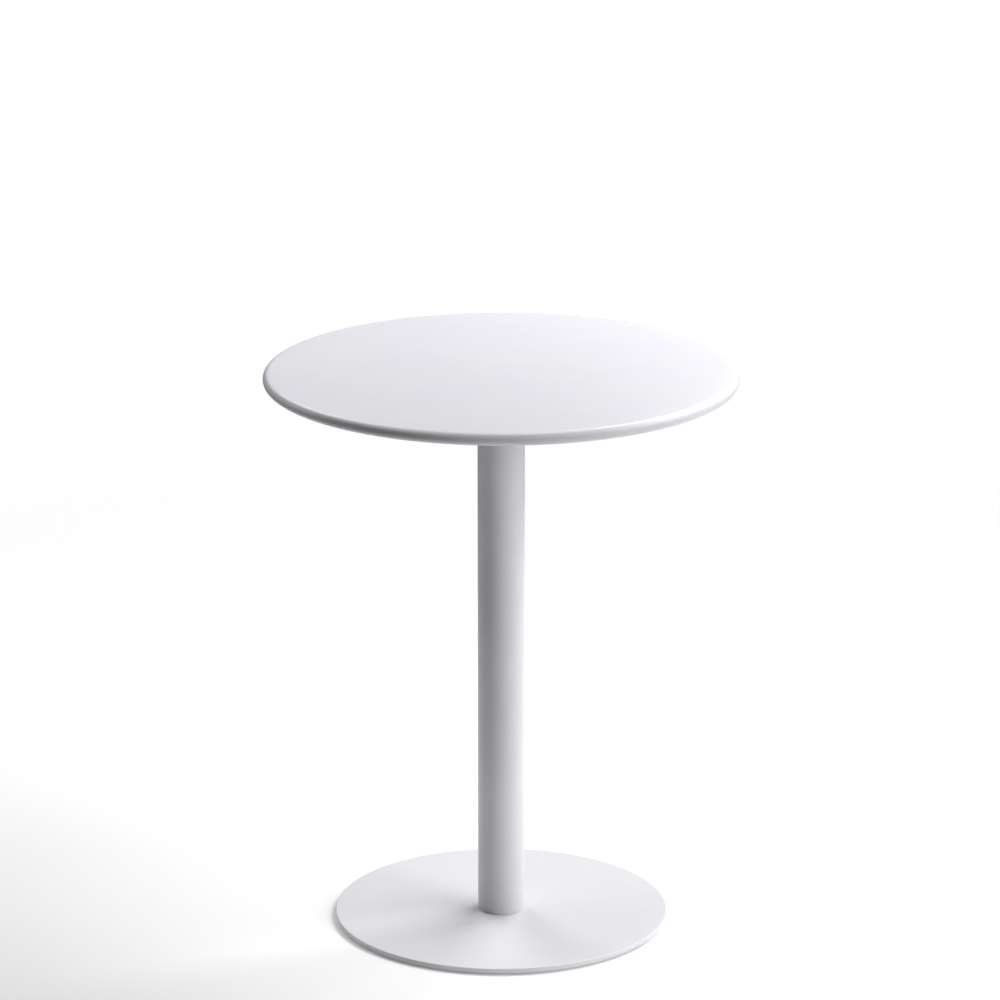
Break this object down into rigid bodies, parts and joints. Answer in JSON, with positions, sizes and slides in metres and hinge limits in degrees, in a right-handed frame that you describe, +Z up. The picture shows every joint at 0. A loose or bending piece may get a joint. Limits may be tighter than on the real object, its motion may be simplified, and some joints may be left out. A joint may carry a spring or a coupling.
{
  "type": "round pedestal table",
  "caption": "Round pedestal table: a thin bullnosed top on a plain tubular column over a thin flat disc base with screw-adjusted levelling feet.",
  "frame": {"origin": "on the floor, on the column's centre line", "axes": "+Z up along the column; +X and +Y through the gaps between the feet, which stand at 45 degrees to them"},
  "size_m": [0.6, 0.6, 0.73],
  "materials": {
    "satin_lacquer_on_board": "fibreboard with a sprayed white satin lacquer",
    "white_powder_coat": "steel with a baked white powder coat, satin, very fine orange peel",
    "zinc_plated_steel": "bright zinc plate on cold-headed steel",
    "bare_steel": "turned mild steel, left bare inside the column",
    "weld_bead": "steel weld bead, scaled and unground",
    "black_nylon": "moulded black nylon, matt"
  },
  "bodies": {
    "table": {"tabletop": "satin_lacquer_on_board", "tabletop_inserts": "zinc_plated_steel", "tabletop_screws": "zinc_plated_steel", "tabletop_screw_washers": "zinc_plated_steel", "support_plate": "white_powder_coat", "support_plate_bolts": "zinc_plated_steel", "column_tube": "white_powder_coat", "column_top_disc": "bare_steel", "column_top_weld": "weld_bead", "column_foot_disc": "bare_steel", "column_foot_weld": "weld_bead", "base_plate": "white_powder_coat", "base_bolts": "zinc_plated_steel"},
    "foot_1_pad": {"foot_1_pad": "black_nylon"},
    "foot_1_stud": {"foot_1_stud": "zinc_plated_steel"},
    "foot_2_pad": {"foot_2_pad": "black_nylon"},
    "foot_2_stud": {"foot_2_stud": "zinc_plated_steel"},
    "foot_3_pad": {"foot_3_pad": "black_nylon"},
    "foot_3_stud": {"foot_3_stud": "zinc_plated_steel"},
    "foot_4_pad": {"foot_4_pad": "black_nylon"},
    "foot_4_stud": {"foot_4_stud": "zinc_plated_steel"}
  },
  "joints": [
    {"name": "foot_1_travel", "type": "slide", "parent": "table", "child": "foot_1_pad", "axis": [0, 0, -1], "range_m": [0, 0.002]},
    {"name": "foot_1_turn", "type": "hinge", "parent": "foot_1_pad", "child": "foot_1_stud", "pos_m": [0.13081, 0.13081, 0.004], "axis": [0, 0, -1], "range_deg": [0, 720]},
    {"name": "foot_2_travel", "type": "slide", "parent": "table", "child": "foot_2_pad", "axis": [0, 0, -1], "range_m": [0, 0.002]},
    {"name": "foot_2_turn", "type": "hinge", "parent": "foot_2_pad", "child": "foot_2_stud", "pos_m": [-0.13081, 0.13081, 0.004], "axis": [0, 0, -1], "range_deg": [0, 720]},
    {"name": "foot_3_travel", "type": "slide", "parent": "table", "child": "foot_3_pad", "axis": [0, 0, -1], "range_m": [0, 0.002]},
    {"name": "foot_3_turn", "type": "hinge", "parent": "foot_3_pad", "child": "foot_3_stud", "pos_m": [-0.13081, -0.13081, 0.004], "axis": [0, 0, -1], "range_deg": [0, 720]},
    {"name": "foot_4_travel", "type": "slide", "parent": "table", "child": "foot_4_pad", "axis": [0, 0, -1], "range_m": [0, 0.002]},
    {"name": "foot_4_turn", "type": "hinge", "parent": "foot_4_pad", "child": "foot_4_stud", "pos_m": [0.13081, -0.13081, 0.004], "axis": [0, 0, -1], "range_deg": [0, 720]}
  ],
  "couplings": [
    {"joint": "foot_1_turn", "follows": "foot_1_travel", "rad_per_m": 6283},
    {"joint": "foot_2_turn", "follows": "foot_2_travel", "rad_per_m": 6283},
    {"joint": "foot_3_turn", "follows": "foot_3_travel", "rad_per_m": 6283},
    {"joint": "foot_4_turn", "follows": "foot_4_travel", "rad_per_m": 6283}
  ]
}
